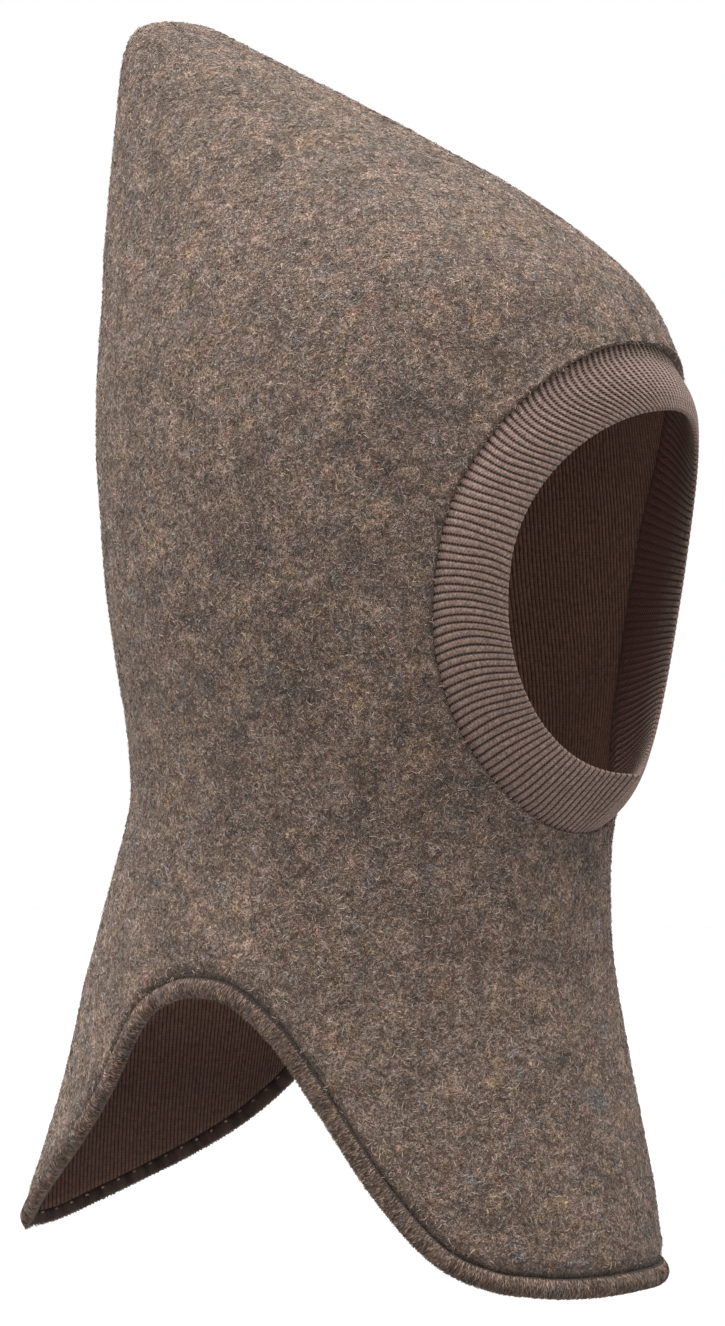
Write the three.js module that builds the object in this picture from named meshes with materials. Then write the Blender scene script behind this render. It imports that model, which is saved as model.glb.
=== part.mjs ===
// Pointed wool-fleece hood for a small child, in its worn form.
// Millimetres, +Z up, face opening toward -Y, origin inside the crown where a head carries the hood.
import * as THREE from 'three';
import { mergeVertices } from 'three/addons/utils/BufferGeometryUtils.js';

// Cloth walls and the gaps between the pieces
const FLEECE_WALL = 2;
const LINING_WALL = 0.9;
const PIECE_GAP = 0.3;
const CLOTH_DEPTH = FLEECE_WALL + PIECE_GAP + LINING_WALL;
// Band and hem start a little further off, because their facets turn corners beside the cloth's
const EDGING_GAP = 0.4;

// Height of the rolled edge round the bibs
const HEM_WIDTH = 5.5;

// How finely one half is divided: round the head, up the bibs, beside the face, over the crown
const COLUMNS = 20;
const BIB_ROWS = 8;
const FACE_ROWS = 12;
const CROWN_ROWS = 8;
// Above 0, columns lie closer together at front and back, where the cloth turns most
const COLUMN_PULL = 0.5;
const COLUMN_SHARES = Array.from({ length: COLUMNS + 1 }, (_, column) => {
  const share = column / COLUMNS;
  return share - (COLUMN_PULL * Math.sin(2 * Math.PI * share)) / (2 * Math.PI);
});

// Slanted loops round the head, from below the hem to the peak. Front and back are a loop's ends on
// the centre plane, half_width its reach to the side, widest the share of the way back where it is
// widest. A power under 1 squares the loop's front or back, one over 1 sharpens it.
const LOOP_COLUMNS = [
  'front_y', 'front_z', 'back_y', 'back_z', 'half_width', 'widest', 'front_power', 'back_power',
];
const LOOPS = [
  [-82, -342, 137, -340, 79, 0.47, 0.95, 1.8],
  [-78, -315, 128, -313, 76, 0.47, 0.95, 1.85],
  [-72, -285, 117.5, -283, 72, 0.47, 0.95, 1.8],
  [-66, -255, 106.8, -252, 69, 0.47, 0.95, 1.6],
  [-62.5, -230, 95, -224, 67, 0.47, 0.92, 1.3],
  [-62, -207, 84.5, -197, 67, 0.47, 0.88, 1.1],
  [-69, -182, 83, -176, 70, 0.48, 0.84, 0.98],
  [-79, -155, 85.5, -156, 74, 0.49, 0.8, 0.96],
  [-86.5, -128, 88.5, -136, 77, 0.5, 0.8, 0.95],
  [-89, -103, 90.5, -116, 78, 0.5, 0.83, 0.95],
  [-88, -82, 92, -98, 78, 0.5, 0.92, 0.95],
  [-82, -62.5, 93, -80, 75, 0.5, 0.9, 0.95],
  [-72, -45.5, 93.5, -63, 70, 0.5, 0.86, 0.96],
  [-57, -31.5, 93.8, -45, 63, 0.5, 0.9, 0.98],
  [-36, -16.5, 94, -27, 54, 0.5, 0.98, 1],
  [-12, -3.2, 94, -8, 44, 0.5, 1.04, 1],
  [14, 10.2, 93.8, 8, 34, 0.5, 1.05, 1],
  [38, 22.3, 93.5, 20, 25, 0.5, 1.05, 1],
  [57, 31.8, 92.5, 29.5, 17, 0.5, 1, 1],
  [69, 37.3, 89.5, 36.3, 10, 0.5, 1, 1],
  [79.5, 38.8, 79.5, 38.8, 0, 0.5, 1, 1],
];

// Lower edge of the hood: angle round from the chin, in degrees, and height
const HEM_COLUMNS = ['angle', 'z'];
const HEM = [
  [0, -337],
  [20, -337],
  [30, -336],
  [40, -333.5],
  [50, -326],
  [60, -309],
  [70, -286.5],
  [80, -266.5],
  [90, -255],
  [97, -252.3],
  [104, -253.5],
  [112, -261],
  [120, -283.5],
  [127, -297],
  [135, -307.5],
  [144, -316],
  [153, -323],
  [162, -328],
  [171, -329.5],
  [180, -330],
];

// Seam between fleece and rib band, and the band's lip: rounded loops seen from the front
const FACE_SEAM = {
  top_z: -63.5, widest_z: -125, bottom_z: -205.5, half_width: 65.2, top_power: 2.2, bottom_power: 2.1,
};
const LIP = {
  top_z: -83.2, widest_z: -128, bottom_z: -188.4, half_width: 54.8, top_power: 2.05, bottom_power: 2,
};
// How far forward the lip lies at its top, bottom and sides, round a middle value
const LIP_DEPTH = { middle_y: -84.8, top_y: -92, bottom_y: -74.5, side_y: -68, side_power: 1.5 };

// Sections of band and hem: share of the way across, and how far out from the chord.
// The band's runs inside from its seam to its lip and back outside, the hem's outside from the fleece
// to the edge and back inside.
const SECTION_COLUMNS = ['across', 'out'];
const BAND_SECTION = [
  [0, -3],
  [0.4, -1.6],
  [0.75, -1.7],
  [0.95, -1.4],
  [1, -0.4],
  [0.96, 0.4],
  [0.8, 1.2],
  [0.45, 2.1],
  [0.12, 1.5],
  [0, 0.2],
];
const HEM_SECTION = [
  [0, 0.4],
  [0.2, 0.9],
  [0.65, 0.8],
  [0.92, 0.1],
  [1, -1.5],
  [0.92, -3],
  [0.6, -3.7],
  [0, -3.6],
];

const DERIVATIVE_STEP = 0.001;
const BISECTION_STEPS = 44;
const UP = new THREE.Vector3(0, 0, 1);

function named(columns, row) {
  return Object.fromEntries(columns.map((column, index) => [column, row[index]]));
}

// A smooth curve through four rows of a table, between the middle two
function throughRows(before, from, to, after, t) {
  return from.map((value, index) => {
    const a = before[index];
    const b = to[index];
    const c = after[index];
    return 0.5 * (2 * value + (b - a) * t + (2 * a - 5 * value + 4 * b - c) * t * t
      + (3 * value - a - 3 * b + c) * t * t * t);
  });
}

// The loop at a height given in rows of the table, with fractions
function loopAt(level) {
  const last = LOOPS.length - 1;
  const clamped = Math.min(Math.max(level, 0), last - 1e-9);
  const index = Math.floor(clamped);
  const extrapolate = (near, far) => near.map((value, column) => 2 * value - far[column]);
  const from = LOOPS[index];
  const to = LOOPS[index + 1];
  const before = index > 0 ? LOOPS[index - 1] : extrapolate(from, to);
  const after = index + 2 <= last ? LOOPS[index + 2] : extrapolate(to, from);
  return named(LOOP_COLUMNS, throughRows(before, from, to, after, clamped - index));
}

// Sideways reach on a loop at an angle from 0 at the front to pi at the back
function reach(loop, angle) {
  const back = 0.5 - 0.5 * Math.cos(angle);
  const power = loop.front_power + (loop.back_power - loop.front_power) * back;
  return loop.half_width * Math.max(Math.sin(angle), 0) ** power;
}

// Outer surface of the fleece on the +X half
function shellPoint(angle, level) {
  const loop = loopAt(level);
  const cosine = -Math.cos(angle);
  const along = loop.widest + cosine * (angle < Math.PI / 2 ? loop.widest : 1 - loop.widest);
  return new THREE.Vector3(
    reach(loop, angle),
    loop.front_y + (loop.back_y - loop.front_y) * along,
    loop.front_z + (loop.back_z - loop.front_z) * along,
  );
}

// The input between low and high at which a rising function meets a target
function bisect(rising, target, low, high) {
  let from = low;
  let to = high;
  for (let step = 0; step < BISECTION_STEPS; step += 1) {
    const middle = (from + to) / 2;
    if (rising(middle) < target) from = middle;
    else to = middle;
  }
  return (from + to) / 2;
}

const TOP_LEVEL = LOOPS.length - 1;

function levelAtHeight(angle, z) {
  return bisect((level) => shellPoint(angle, level).z, z, 0, TOP_LEVEL);
}

// Angle and level of the point on the front of the shell that is seen at x, z
function onFront(x, z) {
  const angleAt = (level) => {
    const loop = loopAt(level);
    return bisect((angle) => reach(loop, angle), x, 0, Math.PI / 2);
  };
  const level = bisect((value) => shellPoint(angleAt(value), value).z, z, 0, TOP_LEVEL);
  return { angle: x > 0 ? angleAt(level) : 0, level };
}

// The angle and level nearest a point that lies close to the shell
function ontoShell(target, start) {
  let { angle, level } = start;
  for (let step = 0; step < 4; step += 1) {
    const here = shellPoint(angle, level);
    const round = shellPoint(angle + DERIVATIVE_STEP, level).sub(here).divideScalar(DERIVATIVE_STEP);
    const up = shellPoint(angle, level + DERIVATIVE_STEP).sub(here).divideScalar(DERIVATIVE_STEP);
    const miss = target.clone().sub(here);
    const cross = round.dot(up);
    const scale = round.lengthSq() * up.lengthSq() - cross * cross;
    angle += (miss.dot(round) * up.lengthSq() - miss.dot(up) * cross) / scale;
    level += (miss.dot(up) * round.lengthSq() - miss.dot(round) * cross) / scale;
  }
  return { angle, level };
}

// Half of a rounded loop seen from the front: turn 0 at its bottom, pi at its top
function frontLoop(shape, turn) {
  const lift = -Math.cos(turn);
  const upper = lift > 0;
  const power = 2 / (upper ? shape.top_power : shape.bottom_power);
  const tall = upper ? shape.top_z - shape.widest_z : shape.widest_z - shape.bottom_z;
  return {
    x: shape.half_width * Math.max(Math.sin(turn), 0) ** power,
    z: shape.widest_z + tall * Math.sign(lift) * Math.abs(lift) ** power,
  };
}

function lipPoint(turn) {
  const { x, z } = frontLoop(LIP, turn);
  const upper = z > LIP.widest_z;
  const tall = upper ? LIP.top_z - LIP.widest_z : LIP.widest_z - LIP.bottom_z;
  const lift = Math.abs(z - LIP.widest_z) / tall;
  const end = upper ? LIP_DEPTH.top_y : LIP_DEPTH.bottom_y;
  const side = (x / LIP.half_width) ** LIP_DEPTH.side_power;
  const y = LIP_DEPTH.middle_y + (end - LIP_DEPTH.middle_y) * lift
    + (LIP_DEPTH.side_y - LIP_DEPTH.middle_y) * side;
  return new THREE.Vector3(x, y, z);
}

// Height of the lower edge at an angle, eased through the rows of its table
function hemHeight(angle) {
  const rows = HEM.map((row) => named(HEM_COLUMNS, row));
  const degrees = THREE.MathUtils.radToDeg(angle);
  const slopeAt = (index) => {
    if (index === 0 || index === rows.length - 1) return 0;
    const before = rows[index - 1];
    const after = rows[index + 1];
    return (after.z - before.z) / (after.angle - before.angle);
  };
  const passed = rows.findLastIndex((row) => row.angle <= degrees);
  const index = Math.min(Math.max(passed, 0), rows.length - 2);
  const span = rows[index + 1].angle - rows[index].angle;
  const t = (degrees - rows[index].angle) / span;
  return (2 * t ** 3 - 3 * t ** 2 + 1) * rows[index].z + (t ** 3 - 2 * t ** 2 + t) * span * slopeAt(index)
    + (3 * t ** 2 - 2 * t ** 3) * rows[index + 1].z + (t ** 3 - t ** 2) * span * slopeAt(index + 1);
}

function hemPoint(angle) {
  return shellPoint(angle, levelAtHeight(angle, hemHeight(angle)));
}

// Angles that part the lower edge's length by the columns' shares
function hemAngles() {
  const samples = 720;
  const lengths = [0];
  let last = hemPoint(0);
  for (let index = 1; index <= samples; index += 1) {
    const next = hemPoint((Math.PI * index) / samples);
    lengths.push(lengths[index - 1] + next.distanceTo(last));
    last = next;
  }
  return COLUMN_SHARES.map((columnShare) => {
    const wanted = lengths[samples] * columnShare;
    const index = Math.min(lengths.findLastIndex((length) => length <= wanted), samples - 1);
    const share = (wanted - lengths[index]) / (lengths[index + 1] - lengths[index]);
    return (Math.PI * (index + share)) / samples;
  });
}

// Where the fleece ends above the rolled edge: HEM_WIDTH up the cloth, square to the edge
function fleeceFoot(angle) {
  const start = { angle, level: levelAtHeight(angle, hemHeight(angle)) };
  const edge = shellPoint(start.angle, start.level);
  if (angle < DERIVATIVE_STEP || angle > Math.PI - DERIVATIVE_STEP) {
    const above = shellPoint(angle, start.level + DERIVATIVE_STEP);
    return { angle, level: start.level + (HEM_WIDTH * DERIVATIVE_STEP) / above.distanceTo(edge) };
  }
  const along = hemPoint(angle + DERIVATIVE_STEP).sub(hemPoint(angle - DERIVATIVE_STEP));
  const round = shellPoint(angle + DERIVATIVE_STEP, start.level).sub(edge);
  const up = shellPoint(angle, start.level + DERIVATIVE_STEP).sub(edge);
  const inCloth = round.cross(up).cross(along).normalize();
  return ontoShell(edge.addScaledVector(inCloth, HEM_WIDTH), start);
}

// Angle and level of every grid point of the fleece's +X half, row by row from hem to peak
function fleeceGrid() {
  const turns = Array.from({ length: FACE_ROWS + 1 }, (_, row) => (Math.PI * row) / FACE_ROWS);
  const edge = turns.map((turn) => {
    const { x, z } = frontLoop(FACE_SEAM, turn);
    return onFront(x < 1e-6 ? 0 : x, z);
  });
  const foot = hemAngles().map(fleeceFoot);
  const rows = [];
  for (let row = 0; row < BIB_ROWS; row += 1) {
    const rise = row / BIB_ROWS;
    rows.push(foot.map(({ angle, level }, column) => ({
      angle: THREE.MathUtils.lerp(angle, Math.PI * COLUMN_SHARES[column], rise),
      level: THREE.MathUtils.lerp(level, edge[0].level, rise),
    })));
  }
  for (const start of edge) {
    rows.push(COLUMN_SHARES.map((share) => ({
      angle: THREE.MathUtils.lerp(start.angle, Math.PI, share),
      level: start.level,
    })));
  }
  for (let row = 1; row < CROWN_ROWS; row += 1) {
    const level = THREE.MathUtils.lerp(edge.at(-1).level, TOP_LEVEL, row / CROWN_ROWS);
    rows.push(COLUMN_SHARES.map((share) => ({ angle: Math.PI * share, level })));
  }
  rows.push([{ angle: 0, level: TOP_LEVEL }]);
  return rows;
}

const mirrored = (point) => point.clone().setX(-point.x);

// Outward directions at the grid's points, from their neighbours and their mirror images
function gridNormals(points) {
  const peak = points.length - 1;
  const isOpenEdge = (row) => row > BIB_ROWS && row < BIB_ROWS + FACE_ROWS;
  const normals = points.slice(0, peak).map((row, index) => row.map((point, column) => {
    const beyond = (open, near) => (open ? point.clone() : mirrored(near));
    const before = column > 0 ? row[column - 1] : beyond(isOpenEdge(index), row[1]);
    const after = column < COLUMNS ? row[column + 1] : beyond(false, row[COLUMNS - 1]);
    const below = index > 0 ? points[index - 1][column] : point;
    const above = index + 1 < peak ? points[index + 1][column] : points[peak][0];
    return after.clone().sub(before).cross(above.clone().sub(below)).normalize();
  }));
  normals.push([UP.clone()]);
  return normals;
}

// The grid at a depth under the outer surface, cut off at the centre seam
function layer(points, normals, depth) {
  return points.map((row, index) => row.map((point, column) => {
    const moved = point.clone().addScaledVector(normals[index][column], -depth);
    return point.x < 1e-6 ? moved.setX(PIECE_GAP / 2) : moved;
  }));
}

function geometryOf(triangles) {
  const geometry = new THREE.BufferGeometry();
  const position = triangles.flat().flatMap((point) => [point.x, point.y, point.z]);
  geometry.setAttribute('position', new THREE.Float32BufferAttribute(position, 3));
  const merged = mergeVertices(geometry, 1e-5);
  merged.computeVertexNormals();
  return merged;
}

// One closed wall between an outer and an inner grid that both end in one point at the peak
function wallTriangles(outer, inner) {
  const triangles = [];
  const quad = (a, b, c, d) => triangles.push([a, b, c], [a, c, d]);
  const peak = outer.length - 1;
  const at = (grid, row, column) => (row === peak ? grid[peak][0] : grid[row][column]);
  for (let row = 0; row < peak; row += 1) {
    for (let column = 0; column < COLUMNS; column += 1) {
      const corners = [[row, column], [row, column + 1], [row + 1, column + 1], [row + 1, column]];
      const [a, b, c, d] = corners.map((corner) => at(outer, ...corner));
      const [e, f, g, h] = corners.map((corner) => at(inner, ...corner));
      if (row + 1 === peak) triangles.push([a, b, c], [e, g, f]);
      else triangles.push([a, b, c], [a, c, d], [e, g, f], [e, h, g]);
    }
    quad(outer[row][0], at(outer, row + 1, 0), at(inner, row + 1, 0), inner[row][0]);
    quad(outer[row][COLUMNS], inner[row][COLUMNS], at(inner, row + 1, COLUMNS), at(outer, row + 1, COLUMNS));
  }
  for (let column = 0; column < COLUMNS; column += 1) {
    quad(outer[0][column], inner[0][column], inner[0][column + 1], outer[0][column + 1]);
  }
  return triangles;
}

function mirroredTriangles(triangles) {
  return triangles.map(([a, b, c]) => [mirrored(a), mirrored(c), mirrored(b)]);
}

// A closed ring through sections that go once round the head or the face, the same on both sides
function ringTriangles(half) {
  const rest = half.slice(1, -1).reverse().map((section) => section.map(mirrored));
  const sections = [...half, ...rest];
  return sections.flatMap((section, index) => {
    const next = sections[(index + 1) % sections.length];
    return section.flatMap((point, corner) => {
      const turn = (corner + 1) % section.length;
      const [a, b, c, d] = [point, section[turn], next[turn], next[corner]];
      return index < half.length - 1 ? [[a, b, c], [a, c, d]] : [[a, b, d], [b, c, d]];
    });
  });
}

// A section from one line of the cloth to another, standing out along the cloth's normal
function crossSection(table, start, end, startOut, endOut) {
  return table.map((row) => {
    const { across, out } = named(SECTION_COLUMNS, row);
    const direction = startOut.clone().lerp(endOut, across).normalize();
    return start.clone().lerp(end, across).addScaledVector(direction, out);
  });
}

// The part of one direction that is square to another
function squareTo(direction, other) {
  const unit = other.clone().normalize();
  return direction.clone().addScaledVector(unit, -direction.dot(unit)).normalize();
}

// A ring of sections from the cloth's cut edge, a gap away from it, to a free edge
function edgingTriangles(seam, normals, edge, table) {
  const half = seam.map((point, index) => {
    const before = index > 0 ? seam[index - 1] : mirrored(seam[1]);
    const after = index + 1 < seam.length ? seam[index + 1] : mirrored(seam[index - 1]);
    const normal = normals[index];
    const across = after.clone().sub(before).cross(normal).normalize();
    const towards = Math.sign(across.dot(edge[index].clone().sub(point)));
    const start = point.clone().addScaledVector(across, towards * EDGING_GAP);
    const out = squareTo(normal, edge[index].clone().sub(start));
    return crossSection(table, start, edge[index], normal, out);
  });
  [half[0], half.at(-1)].forEach((section) => section.forEach((point) => point.setX(0)));
  return ringTriangles(half);
}

function bandTriangles(points, normals) {
  const rows = Array.from({ length: FACE_ROWS + 1 }, (_, step) => BIB_ROWS + step);
  const lip = rows.map((_, step) => lipPoint((Math.PI * step) / FACE_ROWS));
  const seam = rows.map((row) => points[row][0]);
  return edgingTriangles(seam, rows.map((row) => normals[row][0]), lip, BAND_SECTION);
}

function hemTriangles(points, normals) {
  return edgingTriangles(points[0], normals[0], hemAngles().map(hemPoint), HEM_SECTION);
}

const FLEECE = { color: 0x84766b, roughness: 1, metalness: 0 };
const JERSEY = { color: 0x3d2c27, roughness: 0.95, metalness: 0 };
const RIB_KNIT = { color: 0x8a756c, roughness: 0.9, metalness: 0 };
const OVERLOCK = { color: 0x93857a, roughness: 1, metalness: 0 };

function piece(name, triangles, finish) {
  const mesh = new THREE.Mesh(geometryOf(triangles), new THREE.MeshStandardMaterial(finish));
  mesh.name = name;
  return mesh;
}

const outerPoints = fleeceGrid().map((row) => row.map(({ angle, level }) => shellPoint(angle, level)));
outerPoints.at(-1)[0].setX(0);
const outward = gridNormals(outerPoints);
const depthLayer = (depth) => layer(outerPoints, outward, depth);

const fleeceHalf = wallTriangles(depthLayer(0), depthLayer(FLEECE_WALL));
const liningHalf = wallTriangles(depthLayer(FLEECE_WALL + PIECE_GAP), depthLayer(CLOTH_DEPTH));

const hood = new THREE.Group();
hood.add(
  piece('fleece_left', fleeceHalf, FLEECE),
  piece('fleece_right', mirroredTriangles(fleeceHalf), FLEECE),
  piece('lining_left', liningHalf, JERSEY),
  piece('lining_right', mirroredTriangles(liningHalf), JERSEY),
  piece('rib_band', bandTriangles(outerPoints, outward), RIB_KNIT),
  piece('hem', hemTriangles(outerPoints, outward), OVERLOCK),
);

export default hood;
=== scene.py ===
"""Pointed fleece hood with a ribbed face band, dark lining and rolled edge, held in its worn form."""

import math

import bpy
import numpy as np
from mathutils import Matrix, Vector


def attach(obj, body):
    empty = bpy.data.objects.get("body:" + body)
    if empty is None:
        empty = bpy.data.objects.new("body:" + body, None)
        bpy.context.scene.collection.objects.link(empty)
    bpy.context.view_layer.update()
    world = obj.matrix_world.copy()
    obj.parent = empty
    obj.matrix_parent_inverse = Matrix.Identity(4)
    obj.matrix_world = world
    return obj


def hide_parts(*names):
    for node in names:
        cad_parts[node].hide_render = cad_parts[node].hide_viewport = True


# Lengths here are in millimetres and turn into metres when a mesh is made
MM = 0.001

# Slanted loops round the head from below the hem to the peak: the loop's front and back end on the
# centre plane, its reach to the side, where it is widest, and how square its front and back are
LOOP_COLUMNS = (
    "front_y", "front_z", "back_y", "back_z", "half_width", "widest", "front_power", "back_power"
)
LOOPS = np.array([
    (-82, -342, 137, -340, 79, 0.47, 0.95, 1.8),
    (-78, -315, 128, -313, 76, 0.47, 0.95, 1.85),
    (-72, -285, 117.5, -283, 72, 0.47, 0.95, 1.8),
    (-66, -255, 106.8, -252, 69, 0.47, 0.95, 1.6),
    (-62.5, -230, 95, -224, 67, 0.47, 0.92, 1.3),
    (-62, -207, 84.5, -197, 67, 0.47, 0.88, 1.1),
    (-69, -182, 83, -176, 70, 0.48, 0.84, 0.98),
    (-79, -155, 85.5, -156, 74, 0.49, 0.8, 0.96),
    (-86.5, -128, 88.5, -136, 77, 0.5, 0.8, 0.95),
    (-89, -103, 90.5, -116, 78, 0.5, 0.83, 0.95),
    (-88, -82, 92, -98, 78, 0.5, 0.92, 0.95),
    (-82, -62.5, 93, -80, 75, 0.5, 0.9, 0.95),
    (-72, -45.5, 93.5, -63, 70, 0.5, 0.86, 0.96),
    (-57, -31.5, 93.8, -45, 63, 0.5, 0.9, 0.98),
    (-36, -16.5, 94, -27, 54, 0.5, 0.98, 1),
    (-12, -3.2, 94, -8, 44, 0.5, 1.04, 1),
    (14, 10.2, 93.8, 8, 34, 0.5, 1.05, 1),
    (38, 22.3, 93.5, 20, 25, 0.5, 1.05, 1),
    (57, 31.8, 92.5, 29.5, 17, 0.5, 1, 1),
    (69, 37.3, 89.5, 36.3, 10, 0.5, 1, 1),
    (79.5, 38.8, 79.5, 38.8, 0, 0.5, 1, 1),
], float)
TOP_LEVEL = len(LOOPS) - 1

# Lower edge of the hood: degrees round from the chin, and height
HEM = np.array([
    (0, -337), (20, -337), (30, -336), (40, -333.5), (50, -326), (60, -309), (70, -286.5),
    (80, -266.5), (90, -255), (97, -252.3), (104, -253.5), (112, -261), (120, -283.5), (127, -297),
    (135, -307.5), (144, -316), (153, -323), (162, -328), (171, -329.5), (180, -330),
], float)

# Seam between fleece and rib band, and the band's lip, seen from the front
FACE_SEAM = {
    "top_z": -63.5, "widest_z": -125, "bottom_z": -205.5,
    "half_width": 65.2, "top_power": 2.2, "bottom_power": 2.1,
}
LIP = {
    "top_z": -83.2, "widest_z": -128, "bottom_z": -188.4,
    "half_width": 54.8, "top_power": 2.05, "bottom_power": 2,
}
LIP_DEPTH = {"middle_y": -84.8, "top_y": -92, "bottom_y": -74.5, "side_y": -68, "side_power": 1.5}

# Share of the way across and distance out from the chord, for the band from under the fleece over
# its outside to the lip and back inside, and for the hem from the fleece over its edge and back
BAND_PROFILE = np.array([
    (-0.1, -2.1), (-0.03, -1.6), (0.04, -0.7), (0.12, 0.4), (0.27, 1.4), (0.47, 1.8), (0.68, 1.5),
    (0.85, 0.85), (0.955, 0.35), (0.99, -0.1), (0.99, -0.7), (0.95, -1.15), (0.8, -1.45), (0.55, -1.6),
    (0.3, -2.0), (0.1, -2.7), (-0.06, -3.2),
])
HEM_PROFILE = np.array([
    (-0.14, -1.4), (-0.06, -0.6), (0.06, 0.1), (0.26, 0.8), (0.52, 1.05), (0.8, 0.6), (0.97, -0.3),
    (1.0, -1.5), (0.93, -2.6), (0.75, -3.3), (0.4, -3.6), (0.1, -3.5), (-0.05, -2.9),
])

FLEECE_WALL = 2
LINING_WALL = 0.9
PIECE_GAP = 0.3
EDGING_GAP = 0.4
HEM_WIDTH = 5.5
RIBS = 176
# The halves reach this far past the centre plane, so that no light shows between them
CENTRE_OVERLAP = 0.03
# Samples of half a ring, and a small step of angle or level that directions are found from
RING_SAMPLES = 721
STEP = 0.001
# Nearer the centre plane than this, in radians, edges ease to cross it squarely, and normals into it
NEAR_CENTRE = 0.14
NORMAL_EASE = 0.03
# Millimetres that a profile's whole way across stands for
PROFILE_WIDTH = 20

CAMERA_AZIMUTH = -60
CAMERA_DISTANCE = 1.55
CAMERA_TARGET = (0, 0.012, -0.156)
CAMERA_LENS = 141.4
FLOOR_HEIGHT = -0.46
FLOOR_REACH = 4
FLOOR_COLOUR = (0.3, 0.3, 0.3, 1)

# One very wide soft lamp overhead, leaning to the front; it also washes out the pale floor
SKY_POWER = 7.5
SKY_ANGLE = 1.2
SKY_TILT = (2, -8, 0)
# A weaker one from behind the hood's right side, low down
SIDE_POWER = 1.8
SIDE_TILT = (-62, 0, 30)


# The hood's surface

def through_rows(table, level):
    """Rows of a table at fractional row numbers, on a smooth curve through them."""
    last = len(table) - 1
    level = np.clip(np.asarray(level, float), 0, last - 1e-9)
    index = np.floor(level).astype(int)
    t = (level - index)[..., None]
    start = table[index]
    end = table[index + 1]
    before = np.where((index == 0)[..., None], 2 * start - end, table[np.maximum(index - 1, 0)])
    beyond = table[np.minimum(index + 2, last)]
    after = np.where((index == last - 1)[..., None], 2 * end - start, beyond)
    linear = (end - before) * t
    square = (2 * before - 5 * start + 4 * end - after) * t**2
    cube = (3 * start - before - 3 * end + after) * t**3
    return 0.5 * (2 * start + linear + square + cube)


def loops_at(level):
    """Values of the loops at fractional row numbers, by the names of their columns."""
    return dict(zip(LOOP_COLUMNS, np.moveaxis(through_rows(LOOPS, level), -1, 0)))


def reach(loop, angle):
    """Sideways reach on loops at an angle from 0 at the front to pi at the back."""
    power = mix(loop["front_power"], loop["back_power"], 0.5 - 0.5 * np.cos(angle))
    return loop["half_width"] * np.maximum(np.sin(angle), 0) ** power


def shell_point(angle, level):
    """Outer surface of the hood on the +X half."""
    angle, level = np.broadcast_arrays(np.asarray(angle, float), np.asarray(level, float))
    loop = loops_at(level)
    widest = loop["widest"]
    along = widest - np.cos(angle) * np.where(angle < math.pi / 2, widest, 1 - widest)
    return np.stack([
        reach(loop, angle),
        mix(loop["front_y"], loop["back_y"], along),
        mix(loop["front_z"], loop["back_z"], along),
    ], -1)


def bisect(function, target, low, high):
    """Inputs between low and high at which a rising function meets its targets."""
    target = np.asarray(target, float)
    low = np.full(target.shape, float(low))
    high = np.full(target.shape, float(high))
    for _ in range(36):
        middle = (low + high) / 2
        below = function(middle) < target
        low = np.where(below, middle, low)
        high = np.where(below, high, middle)
    return (low + high) / 2


def level_at_height(angle, z):
    return bisect(lambda level: shell_point(angle, level)[..., 2], z, 0, TOP_LEVEL)


def on_front(x, z):
    """Angle and level of the front of the hood seen at x, z."""
    def angle_at(level):
        loop = loops_at(level)
        return bisect(lambda angle: reach(loop, angle), x, 0, math.pi / 2)

    level = bisect(lambda value: shell_point(angle_at(value), value)[..., 2], z, 0, TOP_LEVEL)
    return np.where(x > 1e-6, angle_at(level), 0), level


def onto_shell(target, angle, level):
    """Angle and level nearest to points that lie close to the hood."""
    for _ in range(4):
        here = shell_point(angle, level)
        around = (shell_point(angle + STEP, level) - here) / STEP
        up = (shell_point(angle, level + STEP) - here) / STEP
        miss = target - here
        around_sq, up_sq, cross = dot(around, around), dot(up, up), dot(around, up)
        scale = around_sq * up_sq - cross**2
        angle = angle + (dot(miss, around) * up_sq - dot(miss, up) * cross) / scale
        level = level + (dot(miss, up) * around_sq - dot(miss, around) * cross) / scale
    return angle, level


def off_centre(angle):
    return np.minimum(angle, math.pi - angle)


def shell_normal(angle, level):
    """Outward directions on the hood's surface."""
    step = 4 * STEP
    inner = np.clip(angle, NORMAL_EASE, math.pi - NORMAL_EASE)
    around = shell_point(inner + step, level) - shell_point(inner - step, level)
    up = shell_point(inner, level + step) - shell_point(inner, level - step)
    normal = unit(np.cross(around, up))
    sideways = normal[..., 0]
    ends = (angle < NORMAL_EASE) | (angle > math.pi - NORMAL_EASE)
    normal[..., 0] = np.where(ends, sideways * off_centre(angle) / NORMAL_EASE, sideways)
    return unit(normal)


def front_loop(shape, turn):
    """Half of a rounded loop seen from the front: turn 0 at its bottom, pi at its top."""
    lift = -np.cos(turn)
    upper = lift > 0
    power = 2 / np.where(upper, shape["top_power"], shape["bottom_power"])
    end = np.where(upper, shape["top_z"], shape["bottom_z"])
    x = shape["half_width"] * np.maximum(np.sin(turn), 0) ** power
    return x, mix(shape["widest_z"], end, np.abs(lift) ** power)


def lip_point(turn):
    x, z = front_loop(LIP, turn)
    upper = z > LIP["widest_z"]
    lift = (z - LIP["widest_z"]) / (np.where(upper, LIP["top_z"], LIP["bottom_z"]) - LIP["widest_z"])
    middle = LIP_DEPTH["middle_y"]
    end = np.where(upper, LIP_DEPTH["top_y"], LIP_DEPTH["bottom_y"])
    side = (x / LIP["half_width"]) ** LIP_DEPTH["side_power"]
    return np.stack([x, mix(middle, end, lift) + (LIP_DEPTH["side_y"] - middle) * side, z], -1)


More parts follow.
